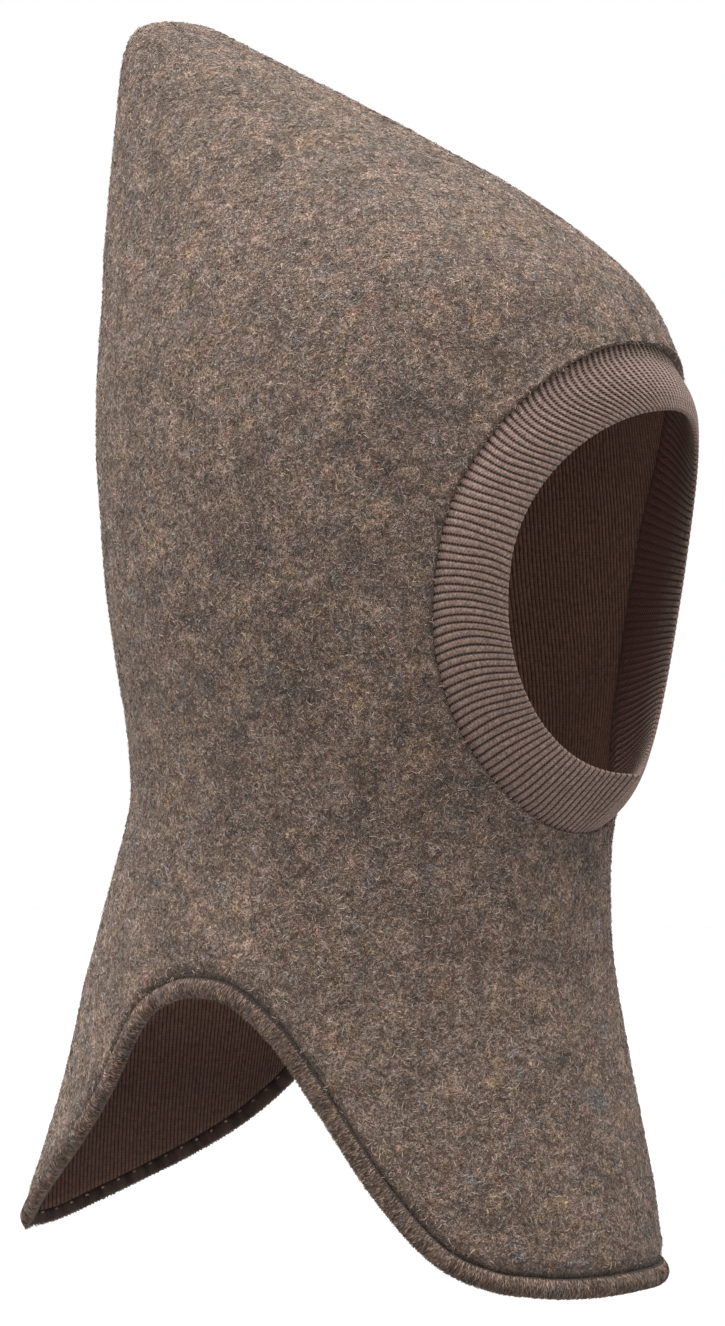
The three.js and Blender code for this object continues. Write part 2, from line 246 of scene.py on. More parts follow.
def hem_height(angle):
    """Height of the lower edge at an angle, eased through the rows of its table."""
    degrees, heights = HEM.T
    slope = np.zeros(len(HEM))
    slope[1:-1] = (heights[2:] - heights[:-2]) / (degrees[2:] - degrees[:-2])
    wanted = np.degrees(angle)
    index = np.clip(np.searchsorted(degrees, wanted, side="right") - 1, 0, len(HEM) - 2)
    width = degrees[index + 1] - degrees[index]
    t = (wanted - degrees[index]) / width
    leaving = (t**3 - 2 * t**2 + t) * width * slope[index]
    arriving = (t**3 - t**2) * width * slope[index + 1]
    from_start = (2 * t**3 - 3 * t**2 + 1) * heights[index] + leaving
    to_end = (3 * t**2 - 2 * t**3) * heights[index + 1] + arriving
    return from_start + to_end


def hem_point(angle):
    return shell_point(angle, level_at_height(angle, hem_height(angle)))


def hem_angles(share):
    """Angles at shares of the lower edge's length from front to back."""
    angle = np.linspace(0, math.pi, RING_SAMPLES)
    lengths = arc_lengths(hem_point(angle))
    return np.interp(share * lengths[-1], lengths, angle)


def fleece_foot(angle):
    """Where the fleece ends above the rolled edge: square to it, or straight above near the centre."""
    inner = np.clip(angle, NEAR_CENTRE, math.pi - NEAR_CENTRE)
    inner_level = level_at_height(inner, hem_height(inner))
    along = hem_point(inner + STEP) - hem_point(inner - STEP)
    here = shell_point(inner, inner_level)
    around = shell_point(inner + STEP, inner_level) - here
    up = shell_point(inner, inner_level + STEP) - here
    in_cloth = unit(np.cross(np.cross(around, up), along))
    foot_angle, foot_level = onto_shell(here + HEM_WIDTH * in_cloth, inner, inner_level)
    level = level_at_height(angle, hem_height(angle))
    rise = shell_point(angle, level + STEP) - shell_point(angle, level)
    straight = level + HEM_WIDTH * STEP / length(rise)
    share = np.clip(off_centre(angle) / NEAR_CENTRE, 0, 1)
    return mix(angle, foot_angle, share), mix(straight, foot_level, share)


# Small sums on arrays of points

def dot(a, b):
    return (a * b).sum(-1)


def length(vectors):
    return np.sqrt(dot(vectors, vectors))


def unit(vectors):
    return vectors / np.maximum(length(vectors), 1e-12)[..., None]


def mix(a, b, share):
    return a + (b - a) * share


def mirrored(points):
    return points * np.array([-1, 1, 1])


def arc_lengths(points, axis=0):
    """How far each point lies from the first, along its row or column of points."""
    steps = length(np.diff(points, axis=axis))
    return np.insert(np.cumsum(steps, axis), 0, 0, axis)


def rising(value, start, full):
    """0 at start, 1 at full, and a straight line between them."""
    return np.clip((value - start) / (full - start), 0, 1)


def bell(distance, width):
    return np.exp(-((distance / width) ** 2))


def waves(points, height, wavelength, seed):
    """A smooth random field of about this height, from plane waves in random directions."""
    rng = np.random.default_rng(seed)
    count = 14
    direction = unit(rng.normal(size=(count, 3)))
    turns = direction * (2 * math.pi / (wavelength * rng.uniform(0.7, 1.6, (count, 1))))
    phase = rng.uniform(0, 2 * math.pi, count)
    return height * (np.sin(points @ turns.T + phase).sum(-1) / math.sqrt(count))


def profile_lengths(profile):
    """How far each of a profile's points lies along it, in millimetres."""
    return arc_lengths(profile * np.array([PROFILE_WIDTH, 1]))


def smooth_profile(table, count):
    """Points at equal steps of length on a smooth curve through a profile's rows."""
    fine = through_rows(table, np.linspace(0, len(table) - 1, 600))
    lengths = profile_lengths(fine)
    wanted = np.linspace(0, lengths[-1], count)
    return np.stack([np.interp(wanted, lengths, values) for values in fine.T], -1)


# Grids of points on the +X half

def clustered(count, pull):
    """Shares from 0 to 1 that lie closer together near both ends."""
    t = np.linspace(0, 1, count + 1)
    return t - pull * np.sin(2 * math.pi * t) / (2 * math.pi)


def cloth_grid(columns, bib_rows, face_rows, crown_rows, pull):
    """Points of the +X half from hem to peak, [row, column], the last row all at the peak."""
    share = clustered(columns, pull)
    seam_angle, seam_level = on_front(*front_loop(FACE_SEAM, np.linspace(0, math.pi, face_rows + 1)))
    foot_angle, foot_level = fleece_foot(hem_angles(share))
    rise = (np.arange(bib_rows) / bib_rows)[:, None]
    bib = shell_point(mix(foot_angle, math.pi * share, rise), mix(foot_level, seam_level[0], rise))
    beside_face = shell_point(mix(seam_angle[:, None], math.pi, share), seam_level[:, None])
    climb = (np.arange(1, crown_rows + 1) / crown_rows)[:, None]
    crown = shell_point(math.pi * share, mix(seam_level[-1], TOP_LEVEL, climb))
    points = np.concatenate([bib, beside_face, crown])
    points[:, -1, 0] = 0
    points[:bib_rows + 1, 0, 0] = 0
    points[bib_rows + face_rows:, 0, 0] = 0
    return points


def open_rows(counts):
    """The rows of a grid whose front end lies at the face opening."""
    return slice(counts["bib_rows"] + 1, counts["bib_rows"] + counts["face_rows"])


def grid_normals(points, counts):
    """Outward directions from a point's neighbours and, on the centre plane, their mirror images."""
    before = np.concatenate([mirrored(points[:, 1:2]), points[:, :-1]], 1)
    before[open_rows(counts), 0] = points[open_rows(counts), 0]
    after = np.concatenate([points[:, 1:], mirrored(points[:, -2:-1])], 1)
    below = np.concatenate([points[:1], points[:-1]])
    above = np.concatenate([points[1:], points[-1:]])
    normals = unit(np.cross(after - before, above - below))
    normals[-1] = (0, 0, 1)
    return normals


def close_at_centre(grid, points):
    """Moves the points on the centre plane a hair past it, and the last row to one point."""
    grid[..., 0] = np.where(points[..., 0] == 0, -CENTRE_OVERLAP, grid[..., 0])
    grid[-1] = grid[-1, 0]


# Meshes

def new_object(name, points, faces, material):
    """A smooth mesh from points in millimetres and arrays of faces, each with its own corner count."""
    mesh = bpy.data.meshes.new(name)
    mesh.from_pydata(points * MM, [], [corners for group in faces for corners in group.tolist()])
    mesh.polygons.foreach_set("use_smooth", np.ones(len(mesh.polygons), bool))
    mesh.validate()
    mesh.materials.append(material)
    made = bpy.data.objects.new(name, mesh)
    bpy.context.scene.collection.objects.link(made)
    return made


def point_values(made, name, values):
    """A number at each of a mesh's points, for its material to read."""
    attribute = made.data.attributes.new(name, "FLOAT", "POINT")
    attribute.data.foreach_set("value", np.asarray(values, np.float32))


def point_uv(made, name, values):
    """A map whose corners take their values from the mesh's points."""
    corners = np.zeros(len(made.data.loops), np.int32)
    made.data.loops.foreach_get("vertex_index", corners)
    layer = made.data.uv_layers.new(name=name)
    layer.data.foreach_set("uv", np.asarray(values, np.float32)[corners].ravel())


def quads(indices, flip=False):
    """Faces between neighbouring rows and columns of grids of point numbers."""
    a, b = indices[..., :-1, :-1], indices[..., :-1, 1:]
    c, d = indices[..., 1:, 1:], indices[..., 1:, :-1]
    order = (a, d, c, b) if flip else (a, b, c, d)
    return np.stack(order, -1).reshape(-1, 4)


def strip(one, other):
    """Faces between two rows of point numbers."""
    return quads(np.stack([one, other]))


def fan(row, peak):
    """Triangles from a row of point numbers to one point."""
    return np.stack([row[:-1], row[1:], np.full(len(row) - 1, peak)], -1)


def wall_faces(rows, columns, flip):
    """A closed wall between an outer and an inner grid whose last rows are one point each."""
    outer = np.arange((rows - 1) * columns).reshape(rows - 1, columns)
    outer_peak = outer.size
    inner = outer + outer_peak + 1
    inner_peak = outer_peak * 2 + 1
    outer_front, outer_back = [np.append(outer[:, end], outer_peak) for end in (0, -1)]
    inner_front, inner_back = [np.append(inner[:, end], inner_peak) for end in (0, -1)]
    fours = [
        quads(outer), quads(inner, flip=True), strip(inner[0], outer[0]),
        strip(outer_front, inner_front), strip(inner_back, outer_back),
    ]
    threes = [fan(outer[-1], outer_peak), fan(inner[-1], inner_peak)[:, ::-1]]
    faces = [np.concatenate(fours), np.concatenate(threes)]
    return [face[:, ::-1] for face in faces] if flip else faces


def wall_points(outer, inner):
    """Values at a wall's points, in the order that wall_faces counts them."""
    parts = []
    for grid in (outer, inner):
        parts += [grid[:-1].reshape(-1, grid.shape[-1]), grid[-1:, 0]]
    return np.concatenate(parts)


def new_wall(name, outer, inner, material, mirror):
    points = wall_points(outer, inner)
    points = mirrored(points) if mirror else points
    return new_object(name, points, wall_faces(*outer.shape[:2], mirror), material)


# Fleece halves

FLEECE_GRID = {"columns": 140, "bib_rows": 56, "face_rows": 66, "crown_rows": 48, "pull": 0.6}
# Where the back begins and is full, in y, and the brow, in z
BACK = (40, 80)
BROW = (-90, -72)
# At the centre seam, the band and the rolled edge, in millimetres: how near the cloth's waves die away,
# how deep it turns in and over what width, how high it puffs up beside, how far off and over what
# width, and how deep its shadow is, from 0 to 1, and how wide
SEAMS = (
    (6, 0.45, 0.9, 0, 0, 1, 0.35, 0.5),
    (5, 1.1, 0.8, 0.3, 2.5, 2.5, 0.6, 0.8),
    (7, 1.5, 2.4, 0.3, 6.5, 3, 0.95, 2.3),
)


def seam_distances(points):
    """How far a grid's points lie from the centre seam, the band and the rolled edge."""
    rows = open_rows(FLEECE_GRID)
    from_band = np.full(points.shape[:2], np.inf)
    from_band[rows] = arc_lengths(points, 1)[rows]
    return points[..., 0], from_band, arc_lengths(points)


def dressed_grid():
    """The fleece on the +X half, its seams turned in, and how far each point lies in their shadow."""
    points = cloth_grid(**FLEECE_GRID)
    normals = grid_normals(points, FLEECE_GRID)
    distances = seam_distances(points)
    behind = rising(points[..., 1], *BACK)
    brow = rising(points[..., 2], *BROW)
    # The nap hides the centre seam in front, and the edge thins to a corner at the back centre
    strengths = behind, 1, 1 - 0.85 * behind * bell(distances[0], 9)
    # Over the brow the cloth stands up more beside the band, with less shadow
    higher = 0, 0.4 * brow, 0
    lighter = 0, 0.5 * brow, 0
    free = 1
    for (tight, *_), distance in zip(SEAMS, distances):
        free = free * (1 - bell(distance, tight))
    out = free * (waves(points, 0.3, 55, 3) + waves(points, 0.08, 19, 4))
    shadow = 0
    for seam, distance, strength, more, less in zip(SEAMS, distances, strengths, higher, lighter):
        _, depth, width, puff, puff_at, puff_width, dark, dark_width = seam
        out = out - strength * depth * bell(distance, width)
        out = out + (puff + more) * bell(distance - puff_at, puff_width)
        shadow = shadow + strength * (dark - less) * bell(distance, dark_width)
    dressed = points + normals * out[..., None]
    inner = points - normals * FLEECE_WALL
    for grid in (dressed, inner):
        close_at_centre(grid, points)
    return dressed, inner, normals, np.minimum(shadow, 1)


def fleece_half(name, grids, material, mirror):
    outer, inner, _, shadow = grids
    made = new_wall(name, outer, inner, material, mirror)
    point_values(made, "shadow", wall_points(shadow[..., None], shadow[..., None]).ravel())
    return made


# Fibres as bent ribbons of one quad and a tip

def ribbons(name, places, size, material, seed, shades=(0, 1)):
    """One mesh of bent fibres that start at their places and lie along the cloth."""
    root, along, across, out = places
    rng = np.random.default_rng(seed)
    count = len(root)

    def each(low, high):
        return rng.uniform(low, high, (count, 1))

    reach_mm = each(*size["length"])
    bend = each(-size["bend"], size["bend"])
    lift = each(*size["lift"])
    half = each(*size["width"]) / 2
    roll = each(-1.1, 1.1)
    sink = each(-0.2, 0.0)
    middle = root + along * reach_mm * 0.5 + out * (sink + lift)
    heading = along * np.cos(bend) + across * np.sin(bend)
    tip = middle + heading * reach_mm * 0.5 - out * lift * 0.5
    sideways = (across * np.cos(roll) + out * np.sin(roll)) * half
    base = root + out * sink
    points = np.stack([base - sideways, base + sideways, middle - sideways, middle + sideways, tip], 1)
    corner = np.arange(count)[:, None] * 5
    faces = [corner + [0, 1, 3, 2], corner + [2, 3, 4]]
    made = new_object(name, points.reshape(-1, 3), faces, material)
    point_values(made, "shade", np.repeat(rng.uniform(*shades, count), 5))
    return made


def scattered(outer, normals, shadow, count, seed):
    """Random places over a grid, few in its shadow: the point, along and across the cloth, and out."""
    rng = np.random.default_rng(seed)
    a, b = outer[:-1, :-1], outer[:-1, 1:]
    c, d = outer[1:, 1:], outer[1:, :-1]
    wanted = length(np.cross(c - a, d - b)) * (1 - 0.85 * shadow[:-1, :-1])
    face = rng.choice(wanted.size, count, p=wanted.ravel() / wanted.sum())
    row, column = np.divmod(face, a.shape[1])
    s, t = rng.uniform(0, 1, (2, count, 1))

    def pick(grid):
        below = mix(grid[row, column], grid[row, column + 1], s)
        above = mix(grid[row + 1, column], grid[row + 1, column + 1], s)
        return mix(below, above, t)

    point = pick(outer)
    out = unit(pick(normals))
    level = unit(np.cross(np.array([0, 0, 1.0]), out) + 1e-6)
    upward = np.cross(out, level)
    heading = rng.uniform(-math.pi, math.pi, (count, 1))
    along = level * np.cos(heading) + upward * np.sin(heading)
    return point, along, np.cross(out, along), out


NAP_FIBRES = 60000
NAP_SIZE = {"length": (1.1, 3.0), "lift": (0.1, 0.45), "width": (0.12, 0.22), "bend": 1.5}


def nap_half(name, grids, material, mirror, seed):
    outer, _, normals, shadow = grids
    places = scattered(outer, normals, shadow, NAP_FIBRES, seed)
    if mirror:
        places = [mirrored(place) for place in places]
    return ribbons(name, places, NAP_SIZE, material, seed + 1)


# Lining halves

# Below this height the bibs flare, and the lining's ribs hang straight down by leaning this much
NECK_HEIGHT = -224
BIB_LEAN = 0.3
LINING_GRID = {"columns": 84, "bib_rows": 40, "face_rows": 52, "crown_rows": 36, "pull": 0.2}


def lining_half(name, material, mirror):
    points = cloth_grid(**LINING_GRID)
    normals = grid_normals(points, LINING_GRID)
    depth = FLEECE_WALL + PIECE_GAP
    # The lining hangs a little slack, but not near its front edge
    slack = np.abs(waves(points, 0.25, 30, 11)) * (1 - bell(length(points[:, :1] - points), 14))
    outer = points - normals * depth
    inner = points - normals * (depth + LINING_WALL + slack[..., None])
    for grid in (outer, inner):
        close_at_centre(grid, points)
    around = arc_lengths(points, 1)
    around = around - around[:, -1:] + BIB_LEAN * np.maximum(NECK_HEIGHT - points[..., 2], 0)
    knit = np.stack([around, points[..., 2]], -1)
    made = new_wall(name, outer, inner, material, mirror)
    point_uv(made, "knit", wall_points(knit, knit))
    return made


# Rings round the face and round the lower edge

def whole_ring(half):
    """A ring's values from those of its +X half, whose ends lie on the centre plane."""
    return np.concatenate([half, mirrored(half[-2:0:-1])])


def ring_at(ring, place):
    """Values of a closed ring of samples at places from 0 to 1 round it."""
    exact = (place % 1) * len(ring)
    index = np.floor(exact).astype(int)
    share = (exact - index)[..., None]
    return mix(ring[index % len(ring)], ring[(index + 1) % len(ring)], share)


def even(points_of):
    """Turns that part a half loop into equal lengths."""
    turn = np.linspace(0, math.pi, 2 * RING_SAMPLES - 1)
    lengths = arc_lengths(points_of(turn))
    return np.interp(np.linspace(0, lengths[-1], RING_SAMPLES), lengths, turn)


def edging_rings(start_points, normals, edge_points):
    """Rings of chords from close by the cloth's cut edge to a free edge."""
    seam = whole_ring(start_points)
    normal = whole_ring(normals)
    edge = whole_ring(edge_points)
    along = np.roll(seam, -1, 0) - np.roll(seam, 1, 0)
    across = unit(np.cross(along, normal))
    towards = np.sign(dot(across, edge - seam))[:, None]
    start = seam + across * towards * EDGING_GAP
    chord = unit(edge - start)
    edge_out = unit(normal - chord * dot(normal, chord)[:, None])
    return start, edge, normal, edge_out


def edging_surface(rings, place, across, out):
    """Points at places round a ring, shares of the way across and heights over its chords."""
    start, edge, normal, edge_out = [ring_at(ring, place) for ring in rings]
    direction = unit(mix(normal, edge_out, np.clip(across, 0, 1)[..., None]))
    return mix(start, edge, across[..., None]) + direction * out[..., None]


def centre_line(rings, place):
    """Points half way across a ring's chords."""
    return edging_surface(rings, place, np.full(place.shape, 0.5), np.zeros(place.shape))


def closed_normals(points):
    """Normals of a grid that closes on itself from its last column to its first."""
    along = np.roll(points, -1, 1) - np.roll(points, 1, 1)
    across = np.gradient(points, axis=0)
    return unit(np.cross(along, across))


def ring_faces(rows, columns):
    """Faces of a grid that closes on itself both ways."""
    index = np.arange(rows * columns).reshape(rows, columns)
    index = np.concatenate([index, index[:, :1]], 1)
    return [quads(np.concatenate([index, index[:1]]))]


# The lip comes to a small point at the chin: how far forward, and over what width
CHIN_POINT = {"forward": 6.2, "width": 11}
# The share of the band's bulge that is lost there, and over what share of the way up
CHIN_FLATTENED = 0.7
CHIN_REACH = 0.12


def face_seam():
    """The band's seam at equal steps of length from the chin to the brow: turn, angle and level."""
    turn = even(lambda value: shell_point(*on_front(*front_loop(FACE_SEAM, value))))
    angle, level = on_front(*front_loop(FACE_SEAM, turn))
    return turn, angle, level


def band_rings():
    _, angle, level = face_seam()
    lip = lip_point(even(lip_point))
    pinch = np.exp(-lip[:, 0] / CHIN_POINT["width"]) * (lip[:, 2] < LIP["widest_z"])
    lip[:, 1] -= CHIN_POINT["forward"] * pinch
    return edging_rings(shell_point(angle, level), shell_normal(angle, level), lip)


# Where the mesh columns of one rib lie, as shares of its width
RIB_STEPS = np.array([0, 0.13, 0.3, 0.5, 0.7, 0.87])
BAND_ROWS = 62

# How the ribs run, from the band's bottom to its top: how many ribs they arch between seam and lip,
# and how many they lean there, both towards the top: climb, arch, lean
RIB_RUN = np.array([
    (0, 0, 0), (0.15, 0.3, 0.3), (0.3, 1.2, 0), (0.42, 1.4, -0.5), (0.55, 0.5, -0.3),
    (0.7, -1.1, 1.4), (0.82, -2.4, 3.2), (0.92, -2.3, 2.8), (1, 0, 0),
])
# Rib relief by how far across the band: 0 at the seam outside, 1 at the lip, 2 back at the seam
RIB_RELIEF = np.array([(0, 0.5), (0.75, 0.5), (0.96, 0.16), (1.05, 0.14), (1.3, 0.3), (2, 0.34)])
# How far the band lies under the fleece's rim at the very top
TOP_RECESS = 2.4
TOP_RECESS_SPREAD = 0.24
RECESS_SHAPE = np.array([(0, 0), (0.08, 0.15), (0.25, 1), (0.42, 0.8), (0.8, 0)])


# Inside, the band runs on past its seam over the lining: by place from its bottom to its top, how far
FLAP = np.array([(0, 10), (0.1, 8.5), (0.22, 5.2), (0.42, 2), (0.62, 2), (0.85, 4.2), (1, 4.6)])
FLAP_START = 0.2
FLAP_ROWS = 5
FLAP_DEPTH = FLEECE_WALL + PIECE_GAP + LINING_WALL + 0.35
FLAP_TURNED_IN = 0.7
# Share of the way across at which the band's inside turns into the flap
FLAP_JOIN = 0.1


def flap_rows(moved):
    """Rows of the band that lie over the lining, from its seam backwards."""
    turn, angle, level = face_seam()
    seam = shell_point(angle, level)
    away = unit(np.cross(np.gradient(seam, axis=0), shell_normal(angle, level)))
    away = away * np.sign(dot(away, seam - lip_point(turn)))[:, None]
    level_length = length(shell_point(angle, level + STEP) - seam) / STEP
    end = np.interp(np.linspace(0, 1, RING_SAMPLES), *FLAP.T)
    share = np.clip(angle / NEAR_CENTRE, 0, 1)
    shares = np.append(np.linspace(0, 1, FLAP_ROWS), 1)
    depths = np.append(np.full(FLAP_ROWS, FLAP_DEPTH), FLAP_DEPTH - FLAP_TURNED_IN)
    rows = []
    for part, depth in zip(shares, depths):
        distance = mix(FLAP_START, end, part)
        target = seam + away * distance[:, None]
        found_angle, found_level = onto_shell(target, np.maximum(angle, NEAR_CENTRE / 2), level)
        straight = level + np.sign(seam[:, 2] - FACE_SEAM["widest_z"]) * distance / level_length
        there_angle = mix(angle, np.clip(found_angle, angle - 0.3, angle + 0.3), share)
        there_level = mix(straight, np.clip(found_level, level - 0.6, level + 0.6), share)
        point = shell_point(there_angle, there_level) - shell_normal(there_angle, there_level) * depth
        point[[0, -1], 0] = 0
        rows.append(ring_at(whole_ring(point), moved))
    return np.stack(rows)


def rib_places(rib, climb, centre, outside):
    """Where the ribs run on their way across the outside of the band, as places round it."""
    upward = np.where(rib < RIBS / 2, 1, -1)
    climb_at, arch_at, lean_at = RIB_RUN.T
    arch = np.interp(climb, climb_at, arch_at) * upward + waves(centre, 0.25, 60, 21)
    lean = np.interp(climb, climb_at, lean_at) * upward + waves(centre, 0.3, 45, 22)
    bent = np.sin(math.pi * outside)
    wobble = waves(centre, 0.13, 9, 23) * bent * np.sin(6 * outside + waves(centre, 3, 30, 25))
    return (rib + arch * bent + lean * outside**1.6 + wobble) / RIBS


def rib_band(material):
    rings = band_rings()
    profile = smooth_profile(BAND_PROFILE, BAND_ROWS)
    lip_row = int(profile[:, 0].argmax())
    # The flap takes over from the last rows inside
    profile = profile[(np.arange(BAND_ROWS) <= lip_row) | (profile[:, 0] > FLAP_JOIN)]
    lengths = profile_lengths(profile)
    to_lip = lengths / lengths[lip_row]
    past_lip = 1 + (lengths - lengths[lip_row]) / (lengths[-1] - lengths[lip_row])
    turned = np.where(np.arange(len(profile)) <= lip_row, to_lip, past_lip)[:, None]
    rib = (np.arange(RIBS)[:, None] + RIB_STEPS).ravel()
    climb = 1 - np.abs(1 - 2 * (rib / RIBS))
    centre = centre_line(rings, rib / RIBS)
    outside = np.clip(turned, 0, 1)
    moved = rib_places(rib, climb, centre, outside)
    across = np.broadcast_to(profile[:, :1], moved.shape)
    bulge = waves(centre, 0.3, 40, 24) * np.sin(math.pi * outside)
    under_rim = TOP_RECESS * bell(1 - climb, TOP_RECESS_SPREAD) * np.interp(outside, *RECESS_SHAPE.T)
    flattened = 1 - CHIN_FLATTENED * bell(climb, CHIN_REACH) * (turned < 1)
    out = profile[:, 1:] * flattened + bulge - np.where(turned < 1, under_rim, 0)
    points = np.concatenate([edging_surface(rings, moved, across, out), flap_rows(moved[-1])])
    on_flap = len(points) - len(profile)
    turned = np.concatenate([turned, np.full((on_flap, 1), 2.0)])
    lengths = np.append(lengths, lengths[-1] + np.arange(1, on_flap + 1))
    ridge = 1 - np.abs(2 * (rib % 1) - 1) ** 2.4
    relief = np.interp(turned, *RIB_RELIEF.T)
    points = points + closed_normals(points) * (relief * (ridge - 0.5))[..., None]
    grid = points.shape[:2]
    made = new_object("face_band", points.reshape(-1, 3), ring_faces(*grid), material)
    knit = [np.broadcast_to(values, grid) for values in (rib, lengths[:, None])]
    point_uv(made, "knit", np.stack(knit, -1).reshape(-1, 2))
    point_values(made, "turned", np.broadcast_to(turned, grid).ravel())
    # Over the brow the outside is stretched, and its ribs are drawn apart
    stretched = rising(climb, 0.62, 0.87) * rising(turned, 1.05, 0.65)
    point_values(made, "stretched", np.broadcast_to(stretched, grid).ravel())
    return made


# Rolled edge

# Threads over the edge, mesh columns for each, how high the edge rises at each, and rows round it
HEM_TICKS = 640
TICK_STEPS = 3
TICK_HEIGHT = 0.14
HEM_ROWS = 18
# Share of the hem's section at which it turns from its outside to its inside
HEM_TURN = 0.6


def hem_rings():
    angle = hem_angles(np.linspace(0, 1, RING_SAMPLES))
    foot_angle, foot_level = fleece_foot(angle)
    foot = shell_point(foot_angle, foot_level)
    edge = hem_point(angle)
    for points in (foot, edge):
        points[[0, -1], 0] = 0
    return edging_rings(foot, shell_normal(foot_angle, foot_level), edge)


def hem_profile(count):
    """Points round the hem's section at equal steps, its width near a quarter of the band's."""
    narrow = np.array([HEM_WIDTH / PROFILE_WIDTH, 1])
    return smooth_profile(HEM_PROFILE * narrow, count) / narrow


# At the back centre the edge thins to a corner: the share of its thickness that is lost there, over
# what share of the way round, and the height in its section that it thins towards
BACK_CORNER = {"lost": 0.75, "spread": 0.013, "middle": -1.4}


def hem_surface(rings, place, across, out):
    """The rolled edge's surface, with the thin corner at the back centre."""
    near = bell(place - 0.5, BACK_CORNER["spread"])
    kept = 1 - BACK_CORNER["lost"] * near * np.clip(across, 0, 1)
    middle = BACK_CORNER["middle"]
    return edging_surface(rings, place, across, middle + (out - middle) * kept)


def rolled_hem(rings, material):
    profile = hem_profile(HEM_ROWS)
    columns = HEM_TICKS * TICK_STEPS
    place = np.arange(columns) / columns
    grid = (HEM_ROWS, columns)
    across = np.broadcast_to(profile[:, :1], grid)
    centre = centre_line(rings, place)
    lumps = waves(centre, 0.07, 14, 31) + waves(centre, 0.05, 4, 32)
    points = hem_surface(rings, np.broadcast_to(place, grid), across, profile[:, 1:] + lumps)
    tick = 0.5 + 0.5 * np.cos(2 * math.pi * place * HEM_TICKS)
    points = points + closed_normals(points) * (TICK_HEIGHT * tick)[..., None]
    made = new_object("rolled_hem", points.reshape(-1, 3), ring_faces(*grid), material)
    row = np.broadcast_to((np.arange(HEM_ROWS) / (HEM_ROWS - 1))[:, None], grid)
    count = np.broadcast_to(place * HEM_TICKS, grid)
    point_uv(made, "edge", np.stack([count, row], -1).reshape(-1, 2))
    return made


def on_hem(rings, place, share):
    """Points on the hem at shares of the way round its section, with frames: down, side and out."""
    profile = hem_profile(200)
    rows = np.arange(len(profile))
    row = np.clip(share, 0, 1) * (len(profile) - 2)
    here, ahead = [[np.interp(at, rows, values) for values in profile.T] for at in (row, row + 1)]
    root = hem_surface(rings, place, *here)
    down = unit(hem_surface(rings, place, *ahead) - root)
    out = unit(np.cross(hem_surface(rings, place + STEP / 2, *here) - root, down))
    return root, down, np.cross(out, down), out


HEM_FIBRES = 30000
HEM_NAP_SIZE = {"length": (0.8, 1.7), "lift": (0.05, 0.22), "width": (0.1, 0.2), "bend": 0.5}


def hem_nap(rings, material):
    """Fibres that lie across the rolled edge."""
    rng = np.random.default_rng(41)
    margin = 0.06
    place = rng.uniform(0, 1, HEM_FIBRES)
    share = rng.uniform(margin, HEM_TURN - margin, HEM_FIBRES)
    root, down, side, out = on_hem(rings, place, share)
    heading = rng.normal(0, 0.2, (HEM_FIBRES, 1))
    along = down * np.cos(heading) + side * np.sin(heading)
    places = root, along, np.cross(out, along), out
    return ribbons("hem_nap", places, HEM_NAP_SIZE, material, 42, (0, 0.7))


# Threads over the rolled edge: each starts at the seam, crosses the roll and ends inside, at these
# shares of the way round the section and this far off it
THREAD_SHARES = np.array([0.1, 0.24, 0.38, 0.5, 0.6])
THREAD_LIFTS = np.array([-0.1, 0.3, 0.34, 0.3, -0.1])
THREAD_HALF = 0.2
THREAD_SIDES = 4


def tubes(name, paths, side, out, half, material, seed, shades):
    """One mesh of short threads with square sections along many paths, [thread, step, 3]."""
    rng = np.random.default_rng(seed)
    count, steps = paths.shape[:2]
    turn = (2 * math.pi * np.arange(THREAD_SIDES) / THREAD_SIDES)[:, None]
    section = side[:, :, None] * np.cos(turn) + out[:, :, None] * np.sin(turn)
    points = paths[:, :, None] + section * half
    index = np.arange(count * steps * THREAD_SIDES).reshape(count, steps, THREAD_SIDES)
    index = np.concatenate([index, index[..., :1]], -1)
    ends = np.concatenate([index[:, 0, :-1][:, ::-1], index[:, -1, :-1]])
    made = new_object(name, points.reshape(-1, 3), [quads(index), ends], material)
    point_values(made, "shade", np.repeat(rng.uniform(*shades, count), steps * THREAD_SIDES))
    return made


def edge_threads(rings, material):
    rng = np.random.default_rng(71)
    start = (np.arange(HEM_TICKS) + rng.uniform(-0.2, 0.2, HEM_TICKS)) / HEM_TICKS
    slant = rng.normal(0.25, 0.2, HEM_TICKS) / HEM_TICKS
    place = start[:, None] + slant[:, None] * (THREAD_SHARES / THREAD_SHARES[-1])
    root, _, side, out = on_hem(rings, place, np.broadcast_to(THREAD_SHARES, place.shape))
    paths = root + out * THREAD_LIFTS[:, None]
    return tubes("edge_threads", paths, side, out, THREAD_HALF, material, 72, (0.25, 0.85))


# Small stitches that hold the hem's turned-in edge to the lining: how many, where on the section, and
# each one's steps along the edge, in spaces between stitches, lifts and half thickness
INSIDE_STITCHES = 120
STITCH_SHARE = 0.95
STITCH_STEPS = np.array([-0.08, 0, 0.08])
STITCH_LIFTS = np.array([0.05, 0.35, 0.05])
STITCH_HALF = 0.42


def inside_stitches(rings, material):
    place = (np.arange(INSIDE_STITCHES)[:, None] + STITCH_STEPS) / INSIDE_STITCHES
    root, down, _, out = on_hem(rings, place, np.full(place.shape, STITCH_SHARE))
    paths = root + out * STITCH_LIFTS[:, None]
    return tubes("inside_stitches", paths, down, out, STITCH_HALF, material, 82, (0.6, 0.9))


# Shader nodes

def connect(tree, socket, value):
    if isinstance(value, bpy.types.NodeSocket):
        tree.links.new(value, socket)
    else:
        socket.default_value = value


def fill(tree, node, inputs):
    """Links or sets a node's inputs by name or number."""
    for name, value in inputs.items():
        connect(tree, node.inputs[name], value)
    return node


def new_node(tree, kind, inputs):
    return fill(tree, tree.nodes.new("ShaderNode" + kind), inputs)


def calc(tree, operation, *values):
    node = tree.nodes.new("ShaderNodeMath")
    node.operation = operation
    return fill(tree, node, dict(enumerate(values))).outputs[0]


def times(tree, first, second):
    return calc(tree, "MULTIPLY", first, second)


